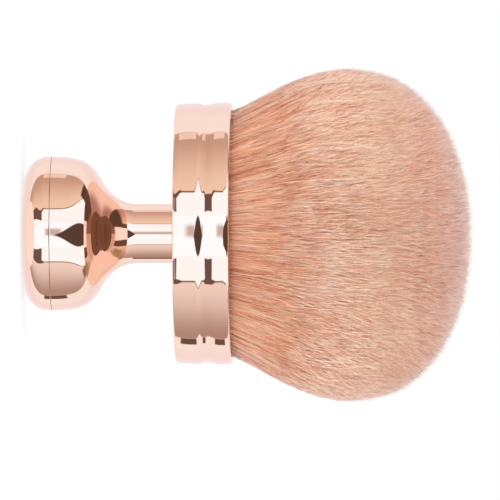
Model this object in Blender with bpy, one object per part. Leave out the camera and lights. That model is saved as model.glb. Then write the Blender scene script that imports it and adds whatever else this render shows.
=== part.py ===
"""Body makeup brush: a weighted knob handle, a waisted ferrule and a domed head of bristles.

The brush stands on the flat foot of its knob, with its origin at the centre of that foot,
and the bristles point up along +Z. Every length is in metres.
"""

import math

import bmesh
import bpy
from mathutils import Matrix, Vector
from mathutils.geometry import interpolate_bezier

# Driving sizes of the handle
HANDLE_LENGTH = 0.0321
FOOT_RADIUS = 0.0095
KNOB_RADIUS = 0.01637
KNOB_WIDEST_HEIGHT = 0.00548
FLARE_RADIUS = 0.0108
FLARE_HEIGHT = 0.01705
NECK_RADIUS = 0.00633
NECK_START_HEIGHT = 0.02422
KNOB_WALL = 0.002

# How the knob's curves bend, as shares of the stretch that each one spans
FOOT_BEND_SHARES = (0.304, 0.801)
CROWN_BEND_SHARES = (0.622, 0.807)
SWEEP_BEND_SHARES = (0.736, 0.326)
FLARE_FALL_SHARE = 1.87

# Driving sizes of the ferrule
FERRULE_RADIUS = 0.0278
FERRULE_LENGTH = 0.012
FERRULE_WALL = 0.0009
FERRULE_CORNER = 0.0012
WAIST_HEIGHT = 0.0062
WAIST_HALF_WIDTH = 0.0019
WAIST_DEPTH = 0.00032
LIP_LENGTH = 0.0012
LIP_DRAW = 0.00012
HEM_LENGTH = 0.001
HEM_THICKNESS = 0.00045

# Driving sizes of the bristle head
BRISTLE_REACH = 0.0511
BULGE_RADIUS = 0.0354
BULGE_HEIGHT = 0.0251
FAN_LEAN_SHARE = 0.34
FAN_BEND_SHARES = (0.264, 0.446)
DOME_BEND_SHARES = (0.78, 0.38)

# One clearance for every seat, so that each piece goes in by hand
CLEARANCE = 0.0003

# The base cap and what it closes in
SEAM_HEIGHT = 0.006
CAP_FLOOR = 0.003
SKIRT_LENGTH = 0.003
SKIRT_WALL = 0.0012
BEAD_SIZE = 0.00025
BEAD_HALF_WIDTH = 0.0006
BEAD_PLACE_SHARE = 0.6
PAD_THICKNESS = 0.0015
WEIGHT_EDGE = 0.0006

# The screw and what it clamps
SEAT_HEIGHT = 0.015
RECESS_DEPTH = 0.0011
SCREW_RADIUS = 0.002
SCREW_HEAD_RADIUS = 0.0038
SCREW_HEAD_HEIGHT = 0.0022
SCREW_CROWN_SHARE = 0.55
SCREW_TIP_RELIEF = 0.0008
SCREW_TIP_CHAMFER = 0.0004
SOCKET_RADIUS = 0.00144
SOCKET_DEPTH = 0.0013
SOCKET_SIDES = 6
WASHER_RADIUS = 0.0045
WASHER_THICKNESS = 0.0008
LOCK_RADIUS = 0.0036
LOCK_THICKNESS = 0.0009
LOCK_SLOT = 0.0007
LOCK_SLANT = math.radians(35)

# The keyed joint between the neck and the bristle cup
SPIGOT_RADIUS = 0.0045
SPIGOT_FLAT_DEPTH = 0.0009
SPIGOT_REACH = 0.0013
SPIGOT_CHAMFER = 0.0003
INSERT_WALL = 0.0009
KNURL_DEPTH = 0.00035
KNURLS = 12
KNURL_SIDES = 4
BOSS_WALL = 0.0015

# The bristle cup and the bonded roots
CUP_WALL = 0.00135
CUP_FLOOR = 0.0018
CUP_CHAMFER = 0.0006
CUP_LAND = 0.0006
PLUG_THICKNESS = 0.0025
PLUG_FILLET = 0.0005
BACKING_THICKNESS = 0.0016
BINDING_SIZE = 0.0007

# The bristles: one in the middle, then circles of seven, fourteen, twenty-one and so on
BRISTLE_CIRCLES = 9
BRISTLES_PER_STEP = 7
BRISTLE_GAP = 0.00045
BRISTLE_STEP = 0.0003
BRISTLE_BEND_SHARE = 0.62
BRISTLE_CROWN_SHARE = 0.978
BRISTLE_BED_SHARE = 0.5
CIRCLE_TURN = math.pi * (3 - math.sqrt(5))

# How finely the forms are drawn
OUTER_SEGMENTS = 48
INNER_SEGMENTS = 32
SMALL_SEGMENTS = 24
CURVE_POINTS = 7
WAIST_POINTS = 6
DOME_POINTS = 24
CORNER_POINTS = 4
SHARP_ANGLE = math.radians(35)
WELD = 1e-7
OVERRUN = 0.002

# Heights that follow from the sizes, from the foot upwards
SEAM_TOP = SEAM_HEIGHT + CLEARANCE
SKIRT_TOP = SEAM_HEIGHT + SKIRT_LENGTH
LEDGE = SKIRT_TOP + CLEARANCE
PAD_BOTTOM = CAP_FLOOR + CLEARANCE
PAD_TOP = PAD_BOTTOM + PAD_THICKNESS
CHAMBER_TOP = SEAT_HEIGHT - RECESS_DEPTH
WASHER_BOTTOM = SEAT_HEIGHT - CLEARANCE - WASHER_THICKNESS
LOCK_BOTTOM = WASHER_BOTTOM - CLEARANCE - LOCK_THICKNESS
HEAD_FACE = LOCK_BOTTOM - CLEARANCE
FERRULE_BACK = HANDLE_LENGTH + CLEARANCE
FERRULE_MOUTH = FERRULE_BACK + FERRULE_LENGTH
CUP_BOTTOM = FERRULE_BACK + FERRULE_WALL + CLEARANCE
KEY_TOP = CUP_BOTTOM + SPIGOT_REACH
SPIGOT_TOP = KEY_TOP - CLEARANCE
CUP_INSIDE = CUP_BOTTOM + CUP_FLOOR
PLUG_BOTTOM = CUP_INSIDE + CLEARANCE
PLUG_TOP = PLUG_BOTTOM + PLUG_THICKNESS
BACKING_BOTTOM = PLUG_TOP + CLEARANCE
ROOT_HEIGHT = BACKING_BOTTOM + BACKING_THICKNESS
WAIST_CENTRE = FERRULE_BACK + WAIST_HEIGHT
CUP_RIM = WAIST_CENTRE + WAIST_HALF_WIDTH + CUP_LAND
BULGE = FERRULE_MOUTH + BULGE_HEIGHT
TIP = FERRULE_MOUTH + BRISTLE_REACH

# Radii that follow from the sizes
BORE_RADIUS = SCREW_RADIUS + CLEARANCE
RECESS_RADIUS = WASHER_RADIUS + CLEARANCE
WEIGHT_BORE = RECESS_RADIUS + CLEARANCE
INSERT_RADIUS = BORE_RADIUS + INSERT_WALL
BOSS_BORE = INSERT_RADIUS + CLEARANCE
BOSS_RADIUS = BOSS_BORE + BOSS_WALL
FERRULE_INSIDE = FERRULE_RADIUS - FERRULE_WALL
LIP_INSIDE = FERRULE_INSIDE - HEM_THICKNESS
MOUTH_RADIUS = LIP_INSIDE - CLEARANCE
CUP_RADIUS = FERRULE_INSIDE - CLEARANCE
CUP_INNER_RADIUS = CUP_RADIUS - CUP_WALL
ROOT_RADIUS = CUP_INNER_RADIUS - CLEARANCE


def clear_scene():
    """Start from an empty scene."""
    for thing in list(bpy.data.objects):
        bpy.data.objects.remove(thing, do_unlink=True)


def finish(name, colour, roughness, metallic):
    """One plain material in the colour of its piece."""
    material = bpy.data.materials.new(name)
    material.use_nodes = True
    shader = material.node_tree.nodes["Principled BSDF"]
    shader.inputs["Base Color"].default_value = (*colour, 1)
    shader.inputs["Roughness"].default_value = roughness
    shader.inputs["Metallic"].default_value = metallic
    material.diffuse_color = (*colour, 1)
    return material


def placed(name, mesh_source, material):
    """Turn a bmesh into a named, smooth-shaded object."""
    bmesh.ops.recalc_face_normals(mesh_source, faces=mesh_source.faces)
    mesh = bpy.data.meshes.new(name)
    mesh_source.to_mesh(mesh)
    mesh_source.free()
    mesh.shade_smooth()
    mesh.set_sharp_from_angle(angle=SHARP_ANGLE)
    if material:
        mesh.materials.append(material)
    thing = bpy.data.objects.new(name, mesh)
    bpy.context.scene.collection.objects.link(thing)
    return thing


def turned(name, profile, segments, material):
    """Turn a half section of (radius, height) points on a lathe about the brush's axis."""
    turning = bmesh.new()
    points = [turning.verts.new((radius, 0, height)) for radius, height in profile]
    edges = [turning.edges.new(pair) for pair in zip(points, points[1:])]
    if profile[0][0] > 0:
        edges.append(turning.edges.new((points[-1], points[0])))
    bmesh.ops.spin(
        turning,
        geom=points + edges,
        cent=(0, 0, 0),
        axis=(0, 0, 1),
        angle=math.tau,
        steps=segments,
        use_merge=True,
    )
    bmesh.ops.remove_doubles(turning, verts=turning.verts, dist=WELD)
    return placed(name, turning, material)


def prism(name, outline, low, high):
    """Raise a closed flat outline of (x, y) points from one height to another, as a tool."""
    block = bmesh.new()
    corners = [block.verts.new((x, y, low)) for x, y in outline]
    floor = block.faces.new(corners)
    raised = bmesh.ops.extrude_face_region(block, geom=[floor])["geom"]
    tops = [item for item in raised if isinstance(item, bmesh.types.BMVert)]
    bmesh.ops.translate(block, verts=tops, vec=(0, 0, high - low))
    return placed(name, block, None)


def combine(piece, tool, operation):
    """Join a hidden tool to a piece, or take its shape out of the piece."""
    tool.hide_render = True
    tool.display_type = "WIRE"
    step = piece.modifiers.new(tool.name, "BOOLEAN")
    step.operation = operation
    step.solver = "EXACT"
    step.object = tool


def bent(start, first, second, end, count):
    """Points along a Bezier curve between two (radius, height) points."""
    corners = [Vector(point) for point in (start, first, second, end)]
    return [tuple(point) for point in interpolate_bezier(*corners, count)]


def between(outline, low, high):
    """The stretch of a rising outline between two heights, with a point at each."""
    inside = [point for point in outline if low + WELD < point[1] < high - WELD]
    return [(radius_at(outline, low), low), *inside, (radius_at(outline, high), high)]


def radius_at(outline, height):
    """The radius of a rising outline at one height."""
    for (radius, low), (next_radius, high) in zip(outline, outline[1:]):
        if low <= height <= high and high > low:
            return radius + (next_radius - radius) * (height - low) / (high - low)
    nearest = outline[0] if height < outline[0][1] else outline[-1]
    return nearest[0]


def inset(outline, depth):
    """The outline moved inwards, square to itself, by a wall."""
    moved = []
    for index, point in enumerate(outline):
        before = outline[max(index - 1, 0)]
        after = outline[min(index + 1, len(outline) - 1)]
        along = Vector((after[0] - before[0], after[1] - before[1])).normalized()
        moved.append((point[0] - depth * along.y, point[1] + depth * along.x))
    return moved


def limited(outline, most):
    """The outline held inside one radius, with a point where it leaves that radius."""
    held = []
    for start, end in zip(outline, outline[1:] + outline[-1:]):
        held.append((min(start[0], most), start[1]))
        if (start[0] - most) * (end[0] - most) < 0:
            share = (most - start[0]) / (end[0] - start[0])
            held.append((most, start[1] + share * (end[1] - start[1])))
    return held


def bead(radius, size, height, half_width):
    """A rounded ridge that stands out from a wall, from its low edge to its high one."""
    steps = [math.pi * step / CORNER_POINTS for step in range(CORNER_POINTS + 1)]
    return [(radius + size * math.sin(a), height - half_width * math.cos(a)) for a in steps]


def knob_outline():
    """The knob's side from its foot over the widest point and the flare to the neck."""
    foot = (FOOT_RADIUS, 0)
    widest = (KNOB_RADIUS, KNOB_WIDEST_HEIGHT)
    flare = (FLARE_RADIUS, FLARE_HEIGHT)
    neck = (NECK_RADIUS, NECK_START_HEIGHT)
    swell = KNOB_RADIUS - FOOT_RADIUS
    fall = (KNOB_RADIUS - FLARE_RADIUS) * CROWN_BEND_SHARES[1]
    sweep = (FLARE_RADIUS - NECK_RADIUS) * SWEEP_BEND_SHARES[0]
    crown_rise = (FLARE_HEIGHT - KNOB_WIDEST_HEIGHT) * CROWN_BEND_SHARES[0]
    neck_drop = (NECK_START_HEIGHT - FLARE_HEIGHT) * SWEEP_BEND_SHARES[1]
    side = bent(
        foot,
        (FOOT_RADIUS + swell * FOOT_BEND_SHARES[0], 0),
        (KNOB_RADIUS, KNOB_WIDEST_HEIGHT * (1 - FOOT_BEND_SHARES[1])),
        widest,
        CURVE_POINTS,
    )
    crown = bent(
        widest,
        (KNOB_RADIUS, KNOB_WIDEST_HEIGHT + crown_rise),
        (FLARE_RADIUS + fall, FLARE_HEIGHT - fall / FLARE_FALL_SHARE),
        flare,
        CURVE_POINTS,
    )
    sweep_in = bent(
        flare,
        (FLARE_RADIUS - sweep, FLARE_HEIGHT + sweep / FLARE_FALL_SHARE),
        (NECK_RADIUS, NECK_START_HEIGHT - neck_drop),
        neck,
        CURVE_POINTS,
    )
    return side + crown[1:] + sweep_in[1:]


def waist(radius):
    """The crimped waist of the ferrule wall, for a wall of this radius."""
    rise = [2 * step / WAIST_POINTS - 1 for step in range(WAIST_POINTS + 1)]
    return [
        (
            radius - WAIST_DEPTH * (1 + math.cos(math.pi * share)) / 2,
            WAIST_CENTRE + WAIST_HALF_WIDTH * share,
        )
        for share in rise
    ]


def bristle_outline():
    """The head's side from the ferrule's mouth over the bulge to the tip."""
    mouth = (MOUTH_RADIUS, FERRULE_MOUTH)
    bulge = (BULGE_RADIUS, BULGE)
    lean = BULGE_HEIGHT * FAN_BEND_SHARES[0]
    dome = BRISTLE_REACH - BULGE_HEIGHT
    fan = bent(
        mouth,
        (MOUTH_RADIUS + lean * FAN_LEAN_SHARE, FERRULE_MOUTH + lean),
        (BULGE_RADIUS, BULGE - BULGE_HEIGHT * FAN_BEND_SHARES[1]),
        bulge,
        DOME_POINTS,
    )
    crown = bent(
        bulge,
        (BULGE_RADIUS, BULGE + dome * DOME_BEND_SHARES[0]),
        (BULGE_RADIUS * DOME_BEND_SHARES[1], TIP),
        (0, TIP),
        DOME_POINTS,
    )
    return fan + crown[1:]


def double_d(radius, flat):
    """A circle with two opposite flats, as (x, y) points."""
    turns = [math.tau * step / OUTER_SEGMENTS for step in range(OUTER_SEGMENTS)]
    return [
        (radius * math.cos(turn), max(-flat, min(flat, radius * math.sin(turn))))
        for turn in turns
    ]


def key_cutter(name, low, high):
    """The double-D hole that takes the neck's spigot."""
    radius = SPIGOT_RADIUS + CLEARANCE
    return prism(name, double_d(radius, radius - SPIGOT_FLAT_DEPTH), low, high)


def skirt_radii():
    """The outer and inner radius of the cap's skirt."""
    outer = radius_at(knob_outline(), SEAM_HEIGHT) - KNOB_WALL - CLEARANCE
    return outer, outer - SKIRT_WALL


def knob_cap(material):
    """The base cap: the foot and a skirt with a snap bead that holds it in the shell."""
    outer, inner = skirt_radii()
    snap = SEAM_HEIGHT + SKIRT_LENGTH * BEAD_PLACE_SHARE
    profile = [(0, 0)]
    profile += between(knob_outline(), 0, SEAM_HEIGHT)
    profile += [(outer, SEAM_HEIGHT)]
    profile += bead(outer, BEAD_SIZE, snap, BEAD_HALF_WIDTH)
    profile += [(outer, SKIRT_TOP - BEAD_SIZE), (outer - BEAD_SIZE, SKIRT_TOP)]
    profile += [(inner, SKIRT_TOP), (inner, CAP_FLOOR), (0, CAP_FLOOR)]
    return turned("knob_cap", profile, OUTER_SEGMENTS, material)


def knob_shell(material):
    """The knob's upper shell, flare and neck, bored for the screw, with a keyed spigot."""
    outer, inner = skirt_radii()
    outline = knob_outline()
    socket = outer + CLEARANCE
    snap = SEAM_HEIGHT + SKIRT_LENGTH * BEAD_PLACE_SHARE
    chamber = limited(between(inset(outline, KNOB_WALL), LEDGE, CHAMBER_TOP), inner)
    profile = between(outline, SEAM_TOP, NECK_START_HEIGHT)
    profile += [(NECK_RADIUS, HANDLE_LENGTH), (SPIGOT_RADIUS, HANDLE_LENGTH)]
    profile += [(SPIGOT_RADIUS, SPIGOT_TOP - SPIGOT_CHAMFER)]
    profile += [(SPIGOT_RADIUS - SPIGOT_CHAMFER, SPIGOT_TOP)]
    profile += [(BORE_RADIUS, SPIGOT_TOP), (BORE_RADIUS, SEAT_HEIGHT)]
    profile += [(RECESS_RADIUS, SEAT_HEIGHT), (RECESS_RADIUS, CHAMBER_TOP)]
    profile += reversed(chamber)
    profile += [(socket, LEDGE)]
    profile += reversed(bead(socket, BEAD_SIZE, snap, BEAD_HALF_WIDTH + CLEARANCE))
    profile += [(socket, SEAM_TOP)]
    shell = turned("knob_shell", profile, OUTER_SEGMENTS, material)
    combine(shell, spigot_flats(), "DIFFERENCE")
    return shell


def spigot_flats():
    """Two blocks that mill the flats on the neck's spigot."""
    flat = SPIGOT_RADIUS - SPIGOT_FLAT_DEPTH
    reach = SPIGOT_RADIUS + OVERRUN
    blocks = bmesh.new()
    for side in (1, -1):
        size = (2 * reach, reach - flat, SPIGOT_TOP + OVERRUN - HANDLE_LENGTH)
        centre = (0, side * (reach + flat) / 2, (SPIGOT_TOP + OVERRUN + HANDLE_LENGTH) / 2)
        where = Matrix.Translation(centre) @ Matrix.Diagonal((*size, 1))
        bmesh.ops.create_cube(blocks, size=1, matrix=where)
    return placed("spigot_flats", blocks, None)


def damper_pad(material):
    """The foam disc that keeps the weight from rattling on the cap."""
    radius = skirt_radii()[1] - CLEARANCE
    profile = [(0, PAD_BOTTOM), (radius, PAD_BOTTOM), (radius, PAD_TOP), (0, PAD_TOP)]
    return turned("damper_pad", profile, INNER_SEGMENTS, material)


def weight_ring(material):
    """The steel ring that fills the knob's chamber and leaves the screw head free."""
    low = PAD_TOP + CLEARANCE
    high = CHAMBER_TOP - CLEARANCE
    side = inset(knob_outline(), KNOB_WALL + CLEARANCE)
    side = limited(between(side, low + WEIGHT_EDGE, high), skirt_radii()[1] - CLEARANCE)
    profile = [(side[0][0] - WEIGHT_EDGE, low), *side]
    profile += [(WEIGHT_BORE + WEIGHT_EDGE, high), (WEIGHT_BORE, high - WEIGHT_EDGE)]
    profile += [(WEIGHT_BORE, low + WEIGHT_EDGE), (WEIGHT_BORE + WEIGHT_EDGE, low)]
    return turned("weight_ring", profile, INNER_SEGMENTS, material)


def flat_washer(material):
    """The plain washer under the screw seat."""
    top = WASHER_BOTTOM + WASHER_THICKNESS
    profile = [(BORE_RADIUS, WASHER_BOTTOM), (WASHER_RADIUS, WASHER_BOTTOM)]
    profile += [(WASHER_RADIUS, top), (BORE_RADIUS, top)]
    return turned("flat_washer", profile, SMALL_SEGMENTS, material)


def lock_washer(material):
    """The split spring washer, cut through at a slant."""
    top = LOCK_BOTTOM + LOCK_THICKNESS
    profile = [(BORE_RADIUS, LOCK_BOTTOM), (LOCK_RADIUS, LOCK_BOTTOM)]
    profile += [(LOCK_RADIUS, top), (BORE_RADIUS, top)]
    ring = turned("lock_washer", profile, SMALL_SEGMENTS, material)
    slit = bmesh.new()
    middle = ((BORE_RADIUS + LOCK_RADIUS) / 2, 0, LOCK_BOTTOM + LOCK_THICKNESS / 2)
    size = (LOCK_RADIUS - BORE_RADIUS + OVERRUN, LOCK_SLOT, LOCK_THICKNESS + OVERRUN)
    where = Matrix.Translation(middle) @ Matrix.Rotation(LOCK_SLANT, 4, "X")
    bmesh.ops.create_cube(slit, size=1, matrix=where @ Matrix.Diagonal((*size, 1)))
    combine(ring, placed("washer_slit", slit, None), "DIFFERENCE")
    return ring


def assembly_screw(material):
    """The button-head screw that draws the knob, the ferrule and the cup together."""
    low = HEAD_FACE - SCREW_HEAD_HEIGHT
    crown = low + SCREW_HEAD_HEIGHT * SCREW_CROWN_SHARE
    tip = PLUG_TOP - SCREW_TIP_RELIEF
    steps = [math.pi / 2 * step / CORNER_POINTS for step in range(CORNER_POINTS + 1)]
    land = SOCKET_RADIUS + CLEARANCE
    profile = [(0, low)]
    profile += [
        (
            land + (SCREW_HEAD_RADIUS - land) * math.sin(turn),
            crown - (crown - low) * math.cos(turn),
        )
        for turn in steps
    ]
    profile += [(SCREW_HEAD_RADIUS, HEAD_FACE), (SCREW_RADIUS, HEAD_FACE)]
    profile += [(SCREW_RADIUS, tip - SCREW_TIP_CHAMFER)]
    profile += [(SCREW_RADIUS - SCREW_TIP_CHAMFER, tip), (0, tip)]
    screw = turned("assembly_screw", profile, SMALL_SEGMENTS, material)
    turns = [math.tau * step / SOCKET_SIDES for step in range(SOCKET_SIDES)]
    hexagon = [(SOCKET_RADIUS * math.cos(a), SOCKET_RADIUS * math.sin(a)) for a in turns]
    socket = prism("screw_socket", hexagon, low - OVERRUN, low + SOCKET_DEPTH)
    combine(screw, socket, "DIFFERENCE")
    return screw


def ferrule_shell(material):
    """The spun aluminium ferrule: a keyed back plate, a crimped waist and a hemmed lip."""
    corner = FERRULE_RADIUS - FERRULE_CORNER
    turns = [math.pi / 2 * step / CORNER_POINTS for step in range(CORNER_POINTS + 1)]
    lip = FERRULE_RADIUS - LIP_DRAW
    lip_middle = (lip + LIP_INSIDE) / 2
    lip_half = (lip - LIP_INSIDE) / 2
    hem = FERRULE_MOUTH - HEM_LENGTH
    profile = [(0, FERRULE_BACK)]
    profile += [
        (
            corner + FERRULE_CORNER * math.sin(turn),
            FERRULE_BACK + FERRULE_CORNER * (1 - math.cos(turn)),
        )
        for turn in turns
    ]
    profile += waist(FERRULE_RADIUS)
    profile += [(FERRULE_RADIUS, FERRULE_MOUTH - LIP_LENGTH)]
    profile += [
        (
            lip_middle + lip_half * math.cos(2 * turn),
            FERRULE_MOUTH - HEM_THICKNESS * (1 - math.sin(2 * turn)),
        )
        for turn in turns
    ]
    profile += [(LIP_INSIDE, hem), (FERRULE_INSIDE, hem - HEM_THICKNESS)]
    profile += reversed(waist(FERRULE_INSIDE))
    profile += [(FERRULE_INSIDE, FERRULE_BACK + FERRULE_WALL), (0, FERRULE_BACK + FERRULE_WALL)]
    shell = turned("ferrule_shell", profile, OUTER_SEGMENTS, material)
    low = FERRULE_BACK - OVERRUN
    high = FERRULE_BACK + FERRULE_WALL + OVERRUN
    combine(shell, key_cutter("ferrule_key", low, high), "DIFFERENCE")
    return shell


def bristle_cup(material):
    """The moulded cup inside the ferrule, with a boss for the threaded insert."""
    lean = (MOUTH_RADIUS - ROOT_RADIUS) / (FERRULE_MOUTH - ROOT_HEIGHT)
    flared = CUP_INNER_RADIUS + lean * (CUP_RIM - ROOT_HEIGHT) + CLEARANCE
    profile = [(BOSS_BORE, CUP_BOTTOM), (CUP_RADIUS - CUP_CHAMFER, CUP_BOTTOM)]
    profile += [(CUP_RADIUS, CUP_BOTTOM + CUP_CHAMFER)]
    profile += waist(CUP_RADIUS)
    profile += [(CUP_RADIUS, CUP_RIM), (flared, CUP_RIM), (CUP_INNER_RADIUS, ROOT_HEIGHT)]
    profile += [(CUP_INNER_RADIUS, CUP_INSIDE), (BOSS_RADIUS, CUP_INSIDE)]
    profile += [(BOSS_RADIUS, PLUG_TOP), (BOSS_BORE, PLUG_TOP)]
    cup = turned("bristle_cup", profile, INNER_SEGMENTS, material)
    combine(cup, key_cutter("cup_key", CUP_BOTTOM - OVERRUN, KEY_TOP), "DIFFERENCE")
    return cup


def threaded_insert(material):
    """The brass insert in the cup's boss, with flutes that stop it turning."""
    groove = INSERT_RADIUS - KNURL_DEPTH
    middle = (KEY_TOP + PLUG_TOP) / 2
    profile = [(BORE_RADIUS, KEY_TOP), (INSERT_RADIUS, KEY_TOP)]
    profile += [(INSERT_RADIUS, middle - KNURL_DEPTH), (groove, middle)]
    profile += [(INSERT_RADIUS, middle + KNURL_DEPTH)]
    profile += [(INSERT_RADIUS, PLUG_TOP), (BORE_RADIUS, PLUG_TOP)]
    insert = turned("threaded_insert", profile, SMALL_SEGMENTS, material)
    flutes = bmesh.new()
    for index in range(KNURLS):
        turn = Matrix.Rotation(math.tau * index / KNURLS, 4, "Z")
        out = Matrix.Translation((INSERT_RADIUS, 0, middle))
        bmesh.ops.create_cone(
            flutes,
            cap_ends=True,
            segments=KNURL_SIDES,
            radius1=KNURL_DEPTH,
            radius2=KNURL_DEPTH,
            depth=PLUG_TOP - KEY_TOP + OVERRUN,
            matrix=turn @ out,
        )
    combine(insert, placed("insert_flutes", flutes, None), "DIFFERENCE")
    return insert


def glue_plug(material):
    """The ring of epoxy that bonds the bristle roots to the cup."""
    inner = BOSS_RADIUS + CLEARANCE
    profile = [(inner, PLUG_BOTTOM), (ROOT_RADIUS - PLUG_FILLET, PLUG_BOTTOM)]
    profile += [(ROOT_RADIUS, PLUG_BOTTOM + PLUG_FILLET), (ROOT_RADIUS, PLUG_TOP)]
    profile += [(inner, PLUG_TOP)]
    return turned("glue_plug", profile, INNER_SEGMENTS, material)


def root_binding(material):
    """The band wound round the bristle roots."""
    inner = ROOT_RADIUS - BINDING_SIZE
    top = BACKING_BOTTOM + BINDING_SIZE
    profile = [(inner, BACKING_BOTTOM), (ROOT_RADIUS, BACKING_BOTTOM)]
    profile += [(ROOT_RADIUS, top), (inner, top)]
    return turned("root_binding", profile, INNER_SEGMENTS, material)


def dome_height(outline, radius):
    """How high the domed top of the head stands at a radius."""
    crown = [point for point in outline if point[1] >= BULGE]
    for (wide, low), (narrow, high) in zip(crown, crown[1:]):
        if narrow <= radius <= wide:
            return low + (high - low) * (wide - radius) / (wide - narrow)
    return BULGE


def bristle_section(reach, circle):
    """The corners of one bristle cut level, as (distance out, distance across) points.

    The section is a cell of a round grid that fills the head out to reach, less half of the
    gap between bristles on each side that has a neighbour.
    """
    margin = BRISTLE_GAP / 2
    pitch = (reach + margin) / (BRISTLE_CIRCLES + 1 / 2)
    outer = pitch * (circle + 1 / 2) - margin
    if circle == 0:
        return [(outer, 0), (0, outer), (-outer, 0), (0, -outer)]
    half_turn = math.pi / (circle * BRISTLES_PER_STEP)
    inner = pitch * (circle - 1 / 2) + margin
    inner_half = inner * math.tan(half_turn) - margin / math.cos(half_turn)
    corner = half_turn - math.asin(margin / outer)
    side, outer_half = outer * math.cos(corner), outer * math.sin(corner)
    return [(inner, -inner_half), (side, -outer_half), (side, outer_half), (inner, inner_half)]


def bristle_levels(outline, circle):
    """The (head radius, height) of a bristle's sections, from its bed in the root slice up."""
    bend = FERRULE_MOUTH + BULGE_HEIGHT * BRISTLE_BEND_SHARE
    reach = radius_at(outline, bend)
    lean = (reach - MOUTH_RADIUS) / (bend - FERRULE_MOUTH)
    bed = ROOT_HEIGHT - BACKING_THICKNESS * BRISTLE_BED_SHARE
    levels = [(MOUTH_RADIUS - lean * (FERRULE_MOUTH - bed), bed), (reach, bend)]
    if circle == BRISTLE_CIRCLES:
        levels.append((BULGE_RADIUS, BULGE))
    return levels


def bristle_rings(outline, circle, drop):
    """The corners of one bristle's sections, the last cut to the head's dome, less a drop."""
    rings = [
        [Vector((*corner, height)) for corner in bristle_section(reach, circle)]
        for reach, height in bristle_levels(outline, circle)
    ]
    crown = bristle_section(BULGE_RADIUS * BRISTLE_CROWN_SHARE, circle)
    rings.append([Vector((*c, dome_height(outline, math.hypot(*c)) - drop)) for c in crown])
    return rings


def bristle_strands():
    """Every bristle as a four-sided strand, in circles that fan out and end on the dome."""
    outline = bristle_outline()
    strands = bmesh.new()
    for circle in range(BRISTLE_CIRCLES + 1):
        count = max(1, circle * BRISTLES_PER_STEP)
        for place in range(count):
            rings = bristle_rings(outline, circle, BRISTLE_STEP * (place % 2))
            strand(strands, rings, circle * CIRCLE_TURN + math.tau * place / count)
    return placed("bristle_strands", strands, None)


def strand(strands, rings, turn):
    """Add one closed bristle to the others, turned about the brush's axis."""
    rotation = Matrix.Rotation(turn, 3, "Z")
    corners = [[strands.verts.new(rotation @ point) for point in ring] for ring in rings]
    strands.faces.new(reversed(corners[0]))
    strands.faces.new(corners[-1])
    for lower, upper in zip(corners, corners[1:]):
        for side in range(len(lower)):
            after = (side + 1) % len(lower)
            strands.faces.new((lower[side], lower[after], upper[after], upper[side]))


def bristle_bundle(material):
    """The bonded slice of bristle roots with every bristle standing in it."""
    bound = ROOT_RADIUS - BINDING_SIZE - CLEARANCE
    step = BACKING_BOTTOM + BINDING_SIZE + CLEARANCE
    profile = [(0, BACKING_BOTTOM), (bound, BACKING_BOTTOM), (bound, step)]
    profile += [(ROOT_RADIUS, step), (ROOT_RADIUS, ROOT_HEIGHT), (0, ROOT_HEIGHT)]
    slice_of_roots = turned("bristle_bundle", profile, INNER_SEGMENTS, material)
    combine(slice_of_roots, bristle_strands(), "UNION")
    return slice_of_roots


def main():
    clear_scene()
    rose_gold = finish("rose_gold_plating", (0.82, 0.53, 0.43), 0.12, 1)
    steel = finish("zinc_plated_steel", (0.62, 0.63, 0.65), 0.3, 1)
    brass = finish("brass", (0.78, 0.6, 0.3), 0.3, 1)
    foam = finish("black_foam", (0.04, 0.04, 0.045), 0.9, 0)
    moulding = finish("moulded_plastic", (0.75, 0.72, 0.68), 0.5, 0)
    epoxy = finish("epoxy", (0.72, 0.6, 0.38), 0.25, 0)
    thread = finish("binding_thread", (0.86, 0.8, 0.72), 0.8, 0)
    bristle = finish("bristle_fibre", (0.84, 0.53, 0.41), 0.55, 0)
    knob_cap(rose_gold)
    knob_shell(rose_gold)
    damper_pad(foam)
    weight_ring(steel)
    flat_washer(steel)
    lock_washer(steel)
    assembly_screw(steel)
    ferrule_shell(rose_gold)
    bristle_cup(moulding)
    threaded_insert(brass)
    glue_plug(epoxy)
    root_binding(thread)
    bristle_bundle(bristle)


main()
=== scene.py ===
"""Looks of a body makeup brush: mirror rose-gold plating and a dense head of fine bristles.

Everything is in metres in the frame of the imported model: the brush stands on the foot of its
knob, the bristles point up along +Z, and the photograph's camera looks along +Y with +Z to
the right of its picture.
"""

import math
from types import SimpleNamespace
from typing import NamedTuple

import bmesh
import bpy
import numpy as np
from mathutils import Matrix, Vector
from mathutils.geometry import interpolate_bezier

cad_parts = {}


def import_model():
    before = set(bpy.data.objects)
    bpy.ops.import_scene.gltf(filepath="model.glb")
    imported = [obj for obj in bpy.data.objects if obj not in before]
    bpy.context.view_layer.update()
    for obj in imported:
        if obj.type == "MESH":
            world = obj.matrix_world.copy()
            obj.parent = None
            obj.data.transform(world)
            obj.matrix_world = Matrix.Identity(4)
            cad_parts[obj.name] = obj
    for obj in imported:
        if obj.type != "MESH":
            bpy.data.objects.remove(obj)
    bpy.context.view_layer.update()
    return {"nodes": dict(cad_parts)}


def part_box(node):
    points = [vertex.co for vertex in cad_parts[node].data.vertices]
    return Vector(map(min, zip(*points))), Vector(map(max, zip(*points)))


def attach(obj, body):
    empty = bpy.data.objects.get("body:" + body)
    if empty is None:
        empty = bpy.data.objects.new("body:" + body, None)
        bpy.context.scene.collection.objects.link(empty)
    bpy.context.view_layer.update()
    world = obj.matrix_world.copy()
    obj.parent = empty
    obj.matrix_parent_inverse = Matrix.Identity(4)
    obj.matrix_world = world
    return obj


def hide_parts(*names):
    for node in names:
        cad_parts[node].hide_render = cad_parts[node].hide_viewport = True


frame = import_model()

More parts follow.
